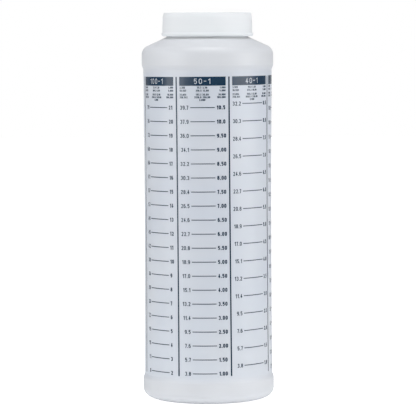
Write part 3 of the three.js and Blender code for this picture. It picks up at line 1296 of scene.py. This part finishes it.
class MIXBOTTLE_OT_studio(bpy.types.Operator):
    """Sets up the floor, the surround, the camera and the soft boxes"""

    bl_idname = "mixbottle.studio"
    bl_label = "Studio"

    def execute(self, context):
        studio = settings().studio
        scene = context.scene
        scene.view_settings.view_transform = "Standard"
        self.make_floor(studio)
        self.make_surround(scene, studio)
        self.make_camera(scene, studio)
        self.make_soft_box("left_soft_box", studio.left_turn, studio.left_width, studio.left_power)
        self.make_soft_box("fill_soft_box", studio.fill_turn, studio.fill_width, studio.fill_power)
        self.make_soft_box("right_soft_box", studio.right_turn, studio.right_width, studio.right_power)
        self.make_top_box(studio)
        return {"FINISHED"}

    def make_floor(self, studio):
        half = studio.floor_size / 2
        mesh = bpy.data.meshes.new("studio_floor")
        corners = [(-half, -half, 0), (half, -half, 0), (half, half, 0), (-half, half, 0)]
        mesh.from_pydata(corners, [], [(0, 1, 2, 3)])
        mesh.materials.append(studio_floor("studio_floor"))
        new_piece("studio_floor", mesh)

    def make_surround(self, scene, studio):
        """White to the camera, and a dim room to everything else."""
        world = bpy.data.worlds.new("studio_surround")
        scene.world = world
        world.use_nodes = True
        tree = world.node_tree
        direction = tree.nodes.new("ShaderNodeTexCoord").outputs["Generated"]
        white = shows_white(tree, direction, *ROOM_WHITE)
        light = {"Color": (1, 1, 1, 1), "Strength": mixed_value(tree, white, studio.ambient, 1)}
        feed(tree, tree.nodes["Background"], light)

    def make_camera(self, scene, studio):
        data = bpy.data.cameras.new("camera")
        data.lens = studio.camera_lens
        data.clip_end = CAMERA_REACH
        camera = bpy.data.objects.new("camera", data)
        scene.collection.objects.link(camera)
        camera.location = (studio.camera_offset, -studio.camera_distance, studio.camera_height)
        level = Euler((math.pi / 2 - studio.camera_tilt, 0, 0)).to_matrix()
        roll = Euler((0, 0, studio.camera_roll)).to_matrix()
        camera.rotation_euler = (level @ roll).to_euler()
        scene.camera = camera

    def make_soft_box(self, name, turn, width, watts):
        """An upright soft box at a turn from the camera's side of the bottle."""
        studio = settings().studio
        inward = Vector((-math.sin(turn), math.cos(turn), 0))
        place = inward * -studio.box_distance + Vector((0, 0, studio.box_middle))
        self.add_light(name, width, studio.box_height, watts, place, inward)

    def make_top_box(self, studio):
        place = Vector((0, -studio.top_forward, studio.top_distance))
        aim = Vector((0, 0, bottle_high.z / 2)) - place
        self.add_light("top_soft_box", studio.top_size, studio.top_size, studio.top_power, place, aim)

    def add_light(self, name, width, height, watts, place, aim):
        data = bpy.data.lights.new(name, "AREA")
        data.shape = "RECTANGLE"
        data.size = width
        data.size_y = height
        data.energy = watts
        light = bpy.data.objects.new(name, data)
        bpy.context.scene.collection.objects.link(light)
        light.location = place
        light.rotation_euler = aim.to_track_quat("-Z", "Y").to_euler()
        light.visible_camera = False


class MIXBOTTLE_PT_panel(bpy.types.Panel):
    """Buttons for each group of pieces"""

    bl_label = "Mixing bottle"
    bl_idname = "MIXBOTTLE_PT_panel"
    bl_space_type = "VIEW_3D"
    bl_region_type = "UI"
    bl_category = "Mixing bottle"

    def draw(self, context):
        for operator in OPERATORS:
            self.layout.operator(operator.bl_idname)


OPERATORS = (
    MIXBOTTLE_OT_studio,
    MIXBOTTLE_OT_shell,
    MIXBOTTLE_OT_pinch_off,
    MIXBOTTLE_OT_cap,
    MIXBOTTLE_OT_liner,
    MIXBOTTLE_OT_threads,
    MIXBOTTLE_OT_headings,
    MIXBOTTLE_OT_marks,
    MIXBOTTLE_OT_numbers,
)
GROUPS = (ShellSizes, ThreadSizes, ScaleSizes, Finishes, StudioSizes, MixingBottle)
CLASSES = GROUPS + OPERATORS + (MIXBOTTLE_PT_panel,)


def register():
    for each in CLASSES:
        bpy.utils.register_class(each)
    bpy.types.Scene.mixing_bottle = PointerProperty(type=MixingBottle)


def unregister():
    del bpy.types.Scene.mixing_bottle
    for each in reversed(CLASSES):
        bpy.utils.unregister_class(each)


def main():
    register()
    bpy.ops.mixbottle.studio()
    bpy.ops.mixbottle.shell()
    bpy.ops.mixbottle.pinch_off()
    bpy.ops.mixbottle.cap()
    bpy.ops.mixbottle.liner()
    bpy.ops.mixbottle.threads()
    bpy.ops.mixbottle.headings()
    bpy.ops.mixbottle.marks()
    bpy.ops.mixbottle.numbers()


if __name__ == "__main__":
    main()
